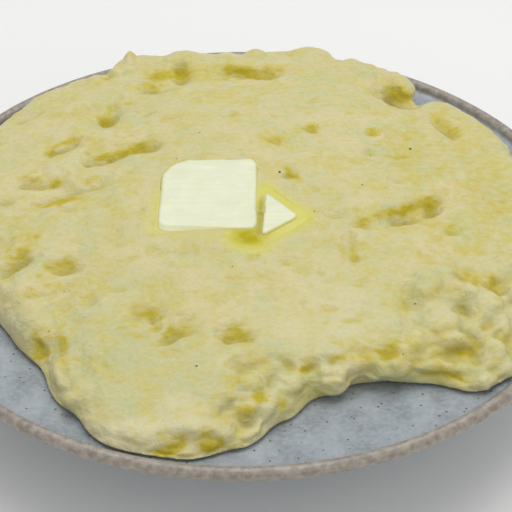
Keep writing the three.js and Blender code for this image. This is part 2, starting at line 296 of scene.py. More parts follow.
def bowlProfile(sizes):  # inside from the middle out, over the bead, and back underneath
    inner = bowlInner(sizes)
    half = sizes["beadThickness"] / 2
    angles = np.linspace(*sizes["beadArc"], 16)
    bead = [(sizes["radius"] - half + half * cos(a), sizes["beadHeight"] + half * sin(a)) for a in angles]
    outer = offsetCurve(inner, -sizes["wall"])[::-1]
    ringIn, ringOut = sizes["footRing"]
    edge = sizes["footRound"]
    under = sizes["floor"][1] - sizes["wall"]
    outer = [point for point in outer if point[0] > ringOut + edge]
    foot = [(ringOut, 2 * edge), (ringOut, edge), (ringOut - edge / 3, edge / 3), (ringOut - edge, 0),
            (ringIn + edge, 0), (ringIn + edge / 3, edge / 3), (ringIn, edge),
            (ringIn - edge, under - edge / 2), (ringIn - 3 * edge, under), (0.6 * ringIn, under),
            (0.03 * ringIn, under)]
    return inner + bead + outer + foot


def makeBowl(sizes):
    profile = bowlProfile(sizes)
    bpy.ops.object.select_all(action="DESELECT")
    bpy.ops.mesh.primitive_circle_add(vertices=sizes["segments"], radius=profile[0][0], fill_type="TRIFAN",
                                      location=(0, 0, profile[0][1]))
    bowl = bpy.context.object
    bowl.name = "stoneware_bowl"
    startEdit(bowl, "SELECT", "EDGE")
    bpy.ops.mesh.region_to_loop()
    for (radius, height), (nextRadius, nextHeight) in zip(profile, profile[1:]):
        bpy.ops.mesh.extrude_edges_move(TRANSFORM_OT_translate={"value": (0, 0, nextHeight - height)})
        grow = nextRadius / radius
        bpy.ops.transform.resize(value=(grow, grow, 1), center_override=(0, 0, nextHeight))
    bpy.ops.mesh.merge(type="CENTER")
    bpy.ops.mesh.select_all(action="SELECT")
    bpy.ops.mesh.normals_make_consistent(inside=False)
    endEdit()
    settle(bowl)
    points = readPoints(bowl)
    points += readNormals(bowl) * (sizes["unevenness"] * ripple(points, sizes["unevenSize"]))[:, None]
    points[:, 2] = np.maximum(points[:, 2], 0)
    writePoints(bowl, points)
    smoothShade(bowl)
    return bowl


def stonewareGlaze():  # satin blue-grey glaze over buff clay: soft wide highlights, brown where it runs thin
    material, tree, shader = startMaterial("blue_grey_stoneware_glaze", IOR=1.52, Coat_Weight=0.25,
                                           Coat_Roughness=0.18)
    place = addNode(tree, "ShaderNodeTexCoord").outputs["Object"]
    split = addNode(tree, "ShaderNodeSeparateXYZ", links={"Vector": place})
    flat = addNode(tree, "ShaderNodeCombineXYZ", links={"X": split.outputs[0], "Y": split.outputs[1]})
    radius = addNode(tree, "ShaderNodeVectorMath", {"operation": "LENGTH"}, {0: flat.outputs[0]})
    cloud = noiseBand(tree, place, 9 * mm, 0.35, 0.65)
    fine = noiseBand(tree, place, 1.6 * mm, 0.4, 0.62, 4.0)
    # iron specks about half a millimetre wide
    cells = addNode(tree, "ShaderNodeTexVoronoi", {"Scale": 1 / (3.2 * mm)}, {"Vector": place})
    speck = addNode(tree, "ShaderNodeMapRange", {"From Min": 0.16, "From Max": 0.08},
                    {"Value": cells.outputs["Distance"]}).outputs[0]
    # the glaze thins over the bead, and the clay is bare under the foot
    wander = noiseBand(tree, place, 3 * mm, 0.2, 0.8, 4.0)
    edge = addNode(tree, "ShaderNodeMath", {"operation": "MULTIPLY_ADD", 1: 2.4 * mm},
                   {0: wander, 2: radius.outputs["Value"]})
    thin = addNode(tree, "ShaderNodeMapRange", {"From Min": 116 * mm, "From Max": 117.6 * mm},
                   {"Value": edge.outputs[0]}).outputs[0]
    rim = coat(tree, "#a69d90", (noiseBand(tree, place, 2.2 * mm, 0.35, 0.65, 5.0), "#877e74"))
    bare = addNode(tree, "ShaderNodeMapRange", {"From Min": 1.3 * mm, "From Max": 0.9 * mm},
                   {"Value": split.outputs[2]}).outputs[0]
    clay = coat(tree, "#b59d80", (fine, "#a58b6d"))
    colour = coat(tree, "#868e95", (cloud, "#9da5ac"), (fine, "#b0b6bb", 0.35), (speck, "#5a5148"),
                  (thin, rim), (bare, clay))
    rough = addNode(tree, "ShaderNodeMapRange", {"To Min": 0.3, "To Max": 0.46}, {"Value": cloud})
    rough = addNode(tree, "ShaderNodeMix", {3: 0.85}, {0: bare, 2: rough.outputs[0]}).outputs[0]
    finishShader(tree, shader, colour, rough, (0.25, 0.25 * mm, fine), (0.3, 0.5 * mm, wander))
    return material


# mash: the solid's form, its facets worn away, then the marks of the spoon and the crumb

mashSizes = {
    "voxel": 0.82 * mm,
    "facetRounds": 26,                 # smoothing that takes the facets away
    "crumblyRounds": 24,               # and more of it where the mash is crumbly, which is shaped anew
    "pocketKeep": (1.2 * mm, 4 * mm),  # round the butter's pockets nothing is smoothed
    "markShare": 0.85, "lumpShare": 0.8, "hollowShare": 0.35,  # how much of each listed one is kept
    "formSpread": 1.15,                # and how far lumps and hollows spread past their listed size
    "edgeCrumb": 0.5,                  # the heap's edge all round is this crumbly
    "topCrumb": 0.12,                  # and the rest of it this crumbly
    "waveSize": 12 * mm,
    "waveHeight": 0.6 * mm,
    "rippleSize": 5 * mm,
    "rippleHeight": 0.4 * mm,
    "grainSize": 2.4 * mm,
    "grainHeight": 0.16 * mm,
    "spread": (0.75, 1, 1),            # the spoon's strokes run from side to side
    "lumpSize": 13 * mm,
    "lumpHeight": 2.2 * mm,
    "crumbSize": 6 * mm,
    "crumbHeight": 1.4 * mm,
    "nicks": 130, "nickSeed": 5,       # small slits and pits
    "nickReach": 100,                  # in millimetres, from the bowl's axis
    # how outlines stray, across and then up or away: reach and spacing in millimetres, and shift
    "markStray": (((1.5, 7, 2), (0.5, 2.5, 6)), ((1.2, 7, 9), (0.5, 2.5, 4))),
    "stepStray": (((1.2, 8, 12),), ((1.2, 8, 15),)),
    "formStray": (((1, 5, 31), (0.5, 2.2, 33)), ((0.8, 5, 35), (0.4, 2.2, 37))),
    # painted shade in the creases: rounds of averaging, the sinking where the deep colour starts and is
    # full, and its share
    "creaseShadeScales": ((8, 0.04 * mm, 0.35 * mm, 0.3), (70, 0.2 * mm, 1.8 * mm, 0.7)),
    "spotShare": 0.85, "nickShare": 0.3, "dipShare": 0.1,  # how strongly spots, nicks and dips deepen the colour, the nicks with painted shade
    "facesKept": 0.62,                 # the rest are taken from the underside, out of sight
}

# Marks in the spread top, in millimetres: middle x and y, half its length, half its width towards
# the diner, turn in degrees, depth. A mark deepens towards the diner and ends there in a steep lip.
spoonMarks = [
    (-50, 50.5, 4.2, 6, 0, 2.6), (-66.5, 31, 8.5, 1.5, 36, 1.9), (-46, 24.4, 12, 2, 15, 2.1),
    (-36, 28.8, 5.5, 3.4, 20, 2), (-56, 58.4, 4.4, 3, 0, 1.4), (-82.5, 54.6, 6, 1.8, 28, 1.2),
    (-71.5, 12, 10, 2.4, -8, 1.5), (-61.6, 4.2, 15, 2.2, 14, 1.7), (-48.2, 12.2, 4, 3, 0, 0.8),
    (-83.5, 2.5, 5, 2.6, 10, 1.8), (-36, 81, 5.5, 2.6, 0, 1.5), (-34, 69.6, 6.5, 2.4, -4, 1.5),
    (-24.4, 80, 3.4, 5, -8, 1.1), (2, 81, 12, 2.6, -8, 2), (-27.4, 44.6, 5, 2, 25, 1),
    (-5, 45, 5, 2, 0, 0.9), (24.3, 37.6, 5, 3, -18, 1.8), (11.5, 27, 5, 2.6, -24, 1.8),
    (16.4, 8.2, 1.9, 5, -34, 2), (46.5, 38.5, 3.4, 3.6, 0, 1.8), (45, 24.4, 4, 2.2, 0, 1.2),
    (53.4, 10.2, 3.6, 2.6, 0, 1.3), (31.5, -12, 5, 2.8, 6, 1.9), (70.8, -15.4, 4, 2.6, 0, 1.6),
    (54, -9.4, 7.5, 2.8, 22, 2.4), (65, -2.8, 4.4, 4.2, 16, 3), (40.2, -15.4, 3.6, 2.2, 0, 1.5),
    (59, 67, 8, 3.4, -32, 2), (75, 46.6, 8, 3, -52, 1.8), (-58.9, -34.2, 7.5, 4, 0, 1.3),
    (-76, -32.4, 7, 3, 38, 2.4), (-49.7, -50.4, 4.6, 2.4, 42, 1.5), (-30, -58, 7, 3.6, -6, 1.2),
    (-36, -68, 6.5, 2.6, -30, 1), (-22, -66.8, 8, 3, 30, 1.3), (-1.6, -67.6, 7, 3.6, -16, 1.3),
    (27.3, -57.4, 4.6, 2.6, 0, 1.1), (8, -52, 7, 2.6, -6, 0.8), (-20, -31, 6, 2.4, 12, 0.9),
    (-82, -20, 5, 2, 10, 1.2), (-20, 60, 6, 2.4, 8, 1), (-9, -31.5, 4, 2, 10, 0.6),
]

# Steps and folds, in millimetres: width of the lower side, depth, then points along the top of the
# step with the lower side on the right. The first is the lip that ends the spread top.
spoonSteps = [
    (7, 0.45, (-2, -75.4), (8.4, -76.3), (22, -77.3), (36, -76.4), (44.3, -73.3), (49.5, -69.7)),
    (6, 0.6, (47, -71.5), (50.5, -64), (51.6, -54), (50.4, -44)),
    (8, 0.8, (38.6, -19), (37.9, -27), (38.7, -35)),
    (16, 0.5, (48.5, 60), (48.9, 44), (49.9, 27)),
    (13, 0.8, (-61, -50), (-58, -64), (-53.5, -78), (-48.6, -92)),
    (6, 0.8, (-80, -50), (-71, -48), (-63, -45.6), (-55, -42.4)),
    (8, 1.4, (69, -35.6), (78, -39.6), (89, -43.5)),
    (8, 0.7, (66, 3), (78, 1), (90, -3)),
    (9, 0.9, (-96, -14), (-84, -17), (-76, -23)),
]

# Lumps and hollows of the crumbly front, in millimetres, where a diner sees them: middle across and
# up, half its length and height, turn in degrees, and how far it stands out or goes in.
frontLumps = [
    (63.3, 4.3, 7.3, 4.8, 0, 3), (77.8, 8.3, 6.1, 4.2, 10, 2.6), (67.5, -2.8, 6.4, 2.8, -8, 2.8),
    (55.4, -2.1, 4.4, 3.8, 10, 2.2), (47.4, -12.1, 5.3, 3.7, 8, 2.2), (61, -11, 5.4, 2.2, 4, 2.4),
    (69.1, -11.3, 2.7, 2, 0, 2), (79.4, -6.5, 3.9, 4.7, 0, 3.4), (76, -15.2, 5.2, 2.8, 5, 2.8),
    (83.6, 1.1, 3, 3.8, 0, 2.4), (82.8, -11.8, 3, 3.8, 0, 2.2), (73.9, 13, 3.6, 2.6, 0, 1.2),
    (54.3, 3.9, 3.2, 4.4, 0, 1.6), (33.6, -10.5, 9.5, 2.7, 14, 1.8), (14.9, -15.1, 5.2, 3.4, 0, 3),
    (3.5, -13.8, 4.8, 2.7, 10, 2.6), (0.4, -6.1, 5.9, 3.4, 0, 1.6), (27.2, -15.6, 3.4, 2.5, 0, 1.8),
    (7.1, -23.5, 3.2, 2.6, 0, 1.6), (2.6, -28.4, 3.8, 2.9, 0, 1.6), (-4.9, -27.7, 3.8, 3.6, 0, 2),
    (-15.2, -26.6, 8, 3.8, 0, 1.3), (-28.7, -28.1, 7.6, 3.8, 0, 1.1), (-57.4, -10.1, 3, 6.8, 8, 1.8),
    (-52.9, -20.2, 2.6, 2.2, 0, 1.4), (-60.9, -7.7, 2.2, 2.7, 0, 1.2), (90, 5, 4, 3.4, 0, 2),
    (88, 12, 4, 3, -20, 1.6), (1, -24.5, 5.2, 4, 0, 3.6), (69.8, -8, 3.4, 2.4, 0, 1.6),
]
frontHollows = [
    (46.3, -6.3, 4, 2.2, 30, 1.6), (69.8, -7.8, 3.6, 2.4, 0, 1.2), (62.2, -7, 5.4, 1.8, 0, 1.4),
    (55.4, -9.7, 2.6, 1.5, 0, 1), (74.7, -2.9, 2.7, 1.8, -30, 1.2), (69.6, -14.2, 3.6, 2, 0, 2.8),
    (82, 14.4, 5, 2.2, -25, 2.2), (78.9, 2.1, 3.2, 2.2, -10, 3.2), (72.8, -2.2, 4.6, 2, -45, 3),
    (72.6, -8.7, 2.2, 3.6, 0, 2.6), (67.9, -14.4, 4.2, 1.8, 0, 3), (6.2, -18.8, 2.8, 2, -20, 2.2),
    (-2.9, -16.2, 3, 2.4, 0, 1.8), (-8.7, -31.3, 3.2, 2, -20, 2.4), (-65.5, -5.8, 3.9, 3.6, -30, 4.6),
    (-55.6, -17.5, 2.4, 1.7, 0, 2), (-63.6, 3.9, 1.9, 1.9, 0, 1.2), (-76.4, 14.9, 2.2, 1.8, 0, 1.6),
    (21.1, -10.9, 3.3, 1.7, 10, 2.4), (14.9, -10, 2.6, 1.4, -20, 1.8), (7.8, -8.6, 2.2, 2, 0, 2),
    (2, -16.3, 3.8, 1.6, -20, 1.6), (-22, -34, 4.6, 1.8, 0, 2.4), (-8.4, -34, 5.2, 2, 10, 2.6),
    (37.1, -14.6, 4.6, 1.5, 12, 2),
]
backPeaks = [  # and the rises along the heap's far edge, listed the same way
    (-44.6, 99.6, 2.6, 5, 0, 3.4), (-48, 98, 8, 5, 18, 2), (-24.1, 101.5, 8, 3.6, 0, 1.8),
    (25.6, 102.4, 9, 4, 0, 2.2), (61.5, 90.5, 8, 6, -30, 3.2), (4, 102.6, 5, 2.6, 0, 1.2),
    (-57, 91, 5, 3, 30, 1.6), (46, 94, 5, 3, -20, 1.6),
]

# Where butter has collected in the mash, listed the same way with the amount last: first the spots in the
# marks and hollows, which also carry painted shade there, then the broad faint stains.
butterAndShadeSpots = [
    (-51, 74, 2.9, 2.7, 0, 1), (-38, 87.5, 7, 2.6, 0, 0.35), (-49.4, 77.6, 2.2, 2.8, 60, 0.5),
    (-64.2, 65, 4.2, 1.3, 28, 1), (-70, 61.6, 4, 1.2, 28, 0.8), (-50, 59, 4.4, 1.9, 8, 0.9),
    (-43, 61.4, 5.6, 1.9, 18, 0.8), (-37, 63.6, 3.8, 2, 25, 0.85), (-75, 51, 4.4, 1.8, 0, 0.6),
    (-66, 50, 2.8, 1.7, 0, 0.65), (-63, 42.7, 9, 1.5, 12, 0.85), (-54, 50.6, 3.8, 1.5, 15, 0.65),
    (-45.4, 41.1, 4.1, 1.1, 8, 0.3), (-24, 94.3, 3.8, 3.2, 0, 1), (-32.4, 93, 5, 2.8, 0, 0.95),
    (-35, 88.5, 5, 1.7, 0, 0.6), (-4.5, 96, 5, 1.9, -6, 0.85), (2, 94.5, 5, 2.1, -10, 1),
    (11, 95.5, 4, 2, 0, 0.5), (-28.4, 74, 3.4, 1.7, 10, 0.45), (-4, 75, 2.6, 1.7, 0, 0.6),
    (24.3, 70.7, 3.4, 1.9, -10, 0.7), (11.2, 65.8, 5.8, 2.2, 0, 0.65), (46.8, 69.4, 3.3, 2.1, 0, 0.8),
    (45.3, 60.7, 3, 1.4, 0, 0.35), (57.5, 85.8, 5, 2.6, -22, 1), (61, 83.8, 3.7, 2.1, -35, 0.75),
    (72.2, 74.4, 3.6, 2, -25, 0.6), (76.8, 70, 5, 2.2, -45, 0.6), (16.6, 52.5, 4.4, 2, -48, 0.9),
    (40.2, 35.5, 3.2, 1.7, 5, 0.9), (45, 37, 3, 1.4, 10, 0.6), (51, 38.7, 5.2, 1.8, 5, 1),
    (56.7, 40, 3.9, 2.2, 15, 0.95), (64, 42, 3.8, 3, 0, 1), (36.7, 27, 1.5, 5.8, 0, 0.4),
    (71.2, 33, 2.9, 1.8, 0, 0.6), (-59.3, 20.7, 6, 2.4, 0, 0.7), (-76.6, 21, 2.9, 4.4, 0, 0.4),
    (-73, 25.4, 3.4, 1.5, 0, 0.4), (-58.8, 14.3, 7.2, 1.5, 8, 0.35), (-69, 11.7, 4.6, 1.5, 8, 0.35),
    (-50.2, 10.5, 1.8, 3, -25, 0.4), (-8.8, 24.7, 2.8, 1.7, 0, 0.3), (-30.8, 5.5, 5, 2.4, -5, 0.7),
    (-36.2, 2.8, 4.6, 2, 0, 0.3), (-22.2, -0.3, 5.8, 1.8, 27, 0.6), (-34, -0.8, 5.7, 1.4, -27, 0.4),
    (-1.9, -0.6, 5, 2.4, -8, 0.7), (1.2, -2, 3, 2, -30, 0.6), (27.4, 6.8, 3, 1.7, 0, 0.35),
    (52, 7.7, 1.5, 3.3, 0, 0.4), (74.5, 17, 4.2, 2, -8, 0.65), (82.5, 14.3, 3.6, 2.4, -25, 1),
    (20.8, -10.6, 3, 2.3, 0, 0.85), (15, -9.7, 3, 1.6, 0, 0.5), (8, -10, 2, 3.2, 0, 0.4),
    (-3, -14, 2.2, 2.2, 0, 0.3), (5.6, -19, 3, 1.9, 0, 0.6), (0.8, -23, 3.2, 2, 0, 0.6),
    (12.6, -21, 2.1, 3.2, 0, 0.6), (37.5, -7.2, 10, 1.6, 2, 0.4), (46, -6.6, 3, 2, 35, 1),
    (48.5, -3.5, 2, 1.5, 60, 0.6), (60.9, -6.4, 5.7, 1.3, 0, 0.35), (69.9, -7, 2.2, 1.5, 0, 1),
    (72.8, -2.2, 3.6, 1.1, -45, 0.5), (78.9, 2.1, 2.4, 1.5, -10, 0.55), (72.6, -8.7, 1.1, 2.8, 0, 0.4),
    (67.9, -14.4, 3.8, 1.5, 0, 0.9), (60, -13.6, 8, 1.4, 0, 0.5), (63, -13, 2.6, 1.8, 0, 0.35),
    (84, 0, 2.3, 3, 0, 0.3), (-65.5, -6, 3.2, 4, -20, 0.85), (-55.6, -3.4, 3, 2.3, 0, 0.3),
    (-22.3, -34.5, 4.2, 2, 0, 1), (-18.2, -31.6, 2.3, 3.1, 0, 0.6), (-8.4, -33, 3.3, 2.3, 15, 1),
    (-10, -29.2, 1.6, 2.5, 0, 0.5),
]
butterAndShadeStains = [
    (-11, 94.6, 33, 5.5, 0, 0.36), (71, 54, 27, 32, 0, 0.14), (60, 62, 11, 22, 0, 0.08),
    (87, 43, 12, 21, 0, 0.2), (0, -15, 10, 14, 0, 0.22), (59, -7, 28, 9, 0, 0.24),
    (-59, 13, 16, 6, 0, 0.12), (28, -7.8, 12, 1.3, 0, 0.3), (66, 12, 8, 3.4, 0, 0.3),
    (-17, 5, 19, 7, 0, 0.1), (-75, 29, 8, 13, 0, 0.22), (-48, 65, 22, 11, 0, 0.12),
    (-17, -32, 15, 4.2, 0, 0.3), (-61, -4.5, 7.6, 7.6, 0, 0.25), (65, 24, 20, 13, 0, 0.1),
    # painted shade: a dark band along a groove on the left of the front
    (-56.3, -4.8, 12.5, 1.7, -74.5, 0.33),
]
paintedShadeStains = [  # painted shade: where the mash is coloured greyer and darker on slopes lying in shade
    (-22, -14, 30, 17, 0, 0.5), (-45, -4, 18, 13, 0, 0.7), (62, 4, 26, 9, 0, 0.3),
    (10, -18, 14, 10, 0, 0.45), (-29, 14.7, 7, 3, 0, 0.5), (69, 9, 8, 3.4, 0, 0.4),
    (70, -11, 6, 6, 0, 0.8), (84, -8, 4, 6, 0, 0.8),
]
paintedLightStains = [  # painted light: where the mash is coloured paler, over the spread top and on the shaded foot of the front
    (25, 5.5, 24, 11, 0, 0.45), (-60, 55, 20, 6, 20, 0.2), (-29, -31, 27, 8, 0, 0.85),
    (28, -9, 15, 4, 2, 0.5), (-77, 4, 6, 6, 0, 0.6), (-3, -9.5, 6, 3, 0, 0.5),
    (-17, -21.5, 11, 6, 0, 0.45),
]

crumblyPatches = [  # middle x and y, radius, how crumbly
    (84, -66, 46, 0.5), (22, -94, 26, 0.6), (2, -104, 20, 0.55), (-70, -66, 26, 0.32),
    (-20, 88, 24, 0.45), (52, 74, 24, 0.4),
]


def nickMarks(sizes):  # slits and pits too small to have a place of their own
    draw = np.random.default_rng(sizes["nickSeed"])
    nicks = []
    for _ in range(sizes["nicks"]):
        angle, reach = draw.uniform(0, 2 * pi), sizes["nickReach"] * draw.uniform() ** 0.5
        length = draw.uniform(1.4, 5.5)
        halfWidth = draw.uniform(0.9, 1.6) + 0.12 * length
        turn, depth = draw.normal(6, 20), draw.uniform(0.25, 0.8)
        nicks.append((reach * cos(angle), reach * sin(angle), length, halfWidth, turn, depth))
    return nicks


def strayedPlaces(points, stray):  # x and y in millimetres, wandering with the ripples
    return [strayed(points[:, axis] / mm, points * (1, 1, 0), stray[axis]) for axis in (0, 1)]


def markDepths(points, marks):  # depth of the spoon's marks at each point, in metres
    x, y = strayedPlaces(points, mashSizes["markStray"])
    depths = np.zeros(len(points))
    for middleX, middleY, halfLength, halfWidth, turn, depth in marks:
        a = radians(turn)
        along = ((x - middleX) * cos(a) + (y - middleY) * sin(a)) / halfLength
        across = ((x - middleX) * sin(a) - (y - middleY) * cos(a)) / halfWidth
        fall = smoothStep(across, -1.3, 0.5) * (1 - smoothStep(across, 0.5, 0.5 + 2.2 / halfWidth))
        depths = np.maximum(depths, depth * mm * fall * np.clip(1 - along ** 2, 0, 1) ** 1.1)
    return depths


def stepDepths(points):  # depth below the steps and folds at each point, in metres
    x, y = strayedPlaces(points, mashSizes["stepStray"])
    depths = np.zeros(len(points))
    for width, depth, *line in spoonSteps:
        nearest = np.full(len(points), 1e9)
        side, travel = np.zeros(len(points)), np.zeros(len(points))
        for i, (start, end) in enumerate(zip(line, line[1:])):
            share, away, hand = besideLine(x, y, *start, *end)
            closer = away < nearest
            nearest = np.where(closer, away, nearest)
            side = np.where(closer, hand * away, side)
            travel = np.where(closer, (i + share) / (len(line) - 1), travel)
        taper = smoothStep(travel, 0, 0.12) * (1 - smoothStep(travel, 0.88, 1))
        fall = smoothStep(side, -0.6, 1.2) * (1 - smoothStep(side, 1.2, width))
        depths = np.maximum(depths, depth * mm * fall * taper)
    return depths


def facingPlaces(points):  # across and up as a diner sees them, in millimetres, wandering a little
    acrossStray, upStray = mashSizes["formStray"]
    up = (points[:, 1] * sin(sightTilt) + points[:, 2] * cos(sightTilt)) / mm
    return strayed(points[:, 0] / mm, points, acrossStray), strayed(up, points, upStray)


def facingShare(normals, turnedAway=0.0):  # 1 where the surface faces the diner, 0 where it faces away
    return smoothStep(normals @ np.array((0, -cos(sightTilt), sin(sightTilt))) + turnedAway, 0, 0.3)


def reaches(places, form, spread=1.0):  # squared distance from the form's middle, 1 at its edge
    across, up = places
    middleAcross, middleUp, halfLength, halfHeight, turn, _ = form
    a = radians(turn)
    along = ((across - middleAcross) * cos(a) + (up - middleUp) * sin(a)) / (halfLength * spread)
    over = ((up - middleUp) * cos(a) - (across - middleAcross) * sin(a)) / (halfHeight * spread)
    return along ** 2 + over ** 2


def facingForms(places, forms, spread=1.0):  # how far the forms stand out, in metres
    heights = np.zeros(len(places[0]))
    for form in forms:
        heights = np.maximum(heights, form[-1] * mm * np.clip(1 - reaches(places, form, spread), 0, 1))
    return heights


def stained(places, forms, low, high):  # 0 clear of the forms, each one's own amount in its middle
    plain = np.ones(len(places[0]))
    for form in forms:
        plain *= 1 - form[-1] * (1 - smoothStep(reaches(places, form) ** 0.5, low, high))
    return 1 - plain


def crumbliness(points, normals):
    x, y = points[:, 0] / mm, points[:, 1] / mm
    steep = smoothStep(1 - normals[:, 2], 0.12, 0.4)
    rough = np.maximum(mashSizes["edgeCrumb"] * steep, mashSizes["topCrumb"])
    for middleX, middleY, radius, level in crumblyPatches:
        away = np.hypot(x - middleX, y - middleY) / radius
        rough = np.maximum(rough, level * (1 - smoothStep(away, 0.55, 1)))
    spreadTop = smoothStep(52 - x, 0, 4) * smoothStep(y + 78, 0, 4)  # ends at the lip, and stays smooth
    return rough * (1 - 0.8 * spreadTop)


def makeMash(sizes, butterNodes):
    selectOnly(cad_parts["mash"])
    bpy.ops.object.duplicate()
    mash = bpy.context.object
    mash.name = "mash_heap"
    startEdit(mash, "SELECT")
    bpy.ops.mesh.remove_doubles(threshold=0.001 * mm)
    endEdit()
    applyModifier(mash, "REMESH", mode="VOXEL", voxel_size=sizes["voxel"], adaptivity=0)
    print("mash remeshed:", len(mash.data.polygons), "faces")
    points = readPoints(mash)
    keep = np.ones(len(points))
    farthest = sizes["pocketKeep"][1]
    for node in butterNodes:
        tree = rayTree(node)
        away = np.array([tree.find_nearest(Vector(point), farthest)[3] or 1 for point in points])
        keep = np.minimum(keep, smoothStep(away, *sizes["pocketKeep"]))
    weigh(mash, "smoothed", keep)
    applyModifier(mash, "SMOOTH", factor=0.5, iterations=sizes["facetRounds"], vertex_group="smoothed")
    points, normals = readPoints(mash), readNormals(mash)
    outside = smoothStep(normals[:, 2], -0.3, 0.1)
    weigh(mash, "crumbly", smoothStep(crumbliness(points, normals), 0.1, 0.4) * outside)
    applyModifier(mash, "SMOOTH", factor=0.5, iterations=sizes["crumblyRounds"], vertex_group="crumbly")
    points, normals = readPoints(mash), readNormals(mash)
    top = smoothStep(normals[:, 2], -0.2, 0.3)
    crumbly = crumbliness(points, normals) * top
    marked = sizes["markShare"] * markDepths(points, spoonMarks)
    marked = np.maximum(marked, stepDepths(points)) * top * keep
    nicked = markDepths(points, nickMarks(sizes)) * top * keep
    places, facing = facingPlaces(points), facingShare(normals)
    lumps = sizes["lumpShare"] * facing * facingForms(places, frontLumps, sizes["formSpread"])
    hollows = sizes["hollowShare"] * facing * facingForms(places, frontHollows, sizes["formSpread"])
    strokes = points * sizes["spread"]
    waves = ripple(strokes, sizes["waveSize"])
    height = sizes["waveHeight"] * waves
    height += sizes["rippleHeight"] * ripple(strokes, sizes["rippleSize"], 8.0)
    height += sizes["grainHeight"] * ripple(strokes, sizes["grainSize"], 3.0)
    height += crumbly * sizes["lumpHeight"] * (crumbs(points, sizes["lumpSize"]) - 0.6)
    height += crumbly * sizes["crumbHeight"] * (crumbs(points, sizes["crumbSize"], 5.0) - 0.6)
    height += lumps - hollows
    height += facingShare(normals, 0.5) * facingForms(places, backPeaks)
    points += normals * (height * top * keep)[:, None]
    points[:, 2] -= marked + nicked
    writePoints(mash, points)
    mash.vertex_groups.clear()
    spots = sizes["spotShare"] * stained(places, butterAndShadeSpots, 0.2, 1.5)
    butterAndShade = 1 - (1 - spots) * (1 - stained(places, butterAndShadeStains, 0.4, 1.2))
    # painted shade: the nicks coloured deeper, added to the butter; the low parts of the waves are a little
    # deeper too
    butterAndShade = butterAndShade * facing + sizes["nickShare"] * smoothStep(nicked, 0.05 * mm, 0.6 * mm)
    paint(mash, "buttery", butterAndShade + sizes["dipShare"] * smoothStep(-waves, 0.1, 0.6))
    paint(mash, "cooled", stained(places, paintedShadeStains, 0.4, 1.2) * facing)
    # painted highlight: the tops of the front's lumps and of the crumbs coloured paler
    raised = crumbly * smoothStep(crumbs(points, sizes["lumpSize"]), 0.6, 1)
    pale = np.minimum(0.4 * smoothStep(lumps, 0.6 * mm, 2.2 * mm) + 0.5 * raised, 0.5)
    paint(mash, "pale", np.maximum(pale, stained(places, paintedLightStains, 0.5, 1.1)))
    weigh(mash, "underside", smoothStep(-readNormals(mash)[:, 2], 0.1, 0.3))
    faces = len(mash.data.polygons)
    print("mash shaped")
    applyModifier(mash, "DECIMATE", ratio=sizes["facesKept"], vertex_group="underside",
                  vertex_group_factor=10)
    mash.vertex_groups.clear()
    print("mash faces:", faces, "then", len(mash.data.polygons))
    smoothShade(mash)
    return mash


def paintCreaseShade(mash, sizes):  # painted shade in the creases, from 0 on the open surface to 1 in the deepest
    points, normals = readPoints(mash), readNormals(mash)
    cavity = np.zeros(len(points))
    for rounds, low, high, share in sizes["creaseShadeScales"]:
        around = np.stack([relaxed(mash, points[:, axis], rounds) for axis in range(3)], 1)
        sunk = ((around - points) * normals).sum(axis=1)
        cavity += share * smoothStep(sunk, low, high)
    paint(mash, "cavity", np.clip(relaxed(mash, cavity, 5), 0, 1))


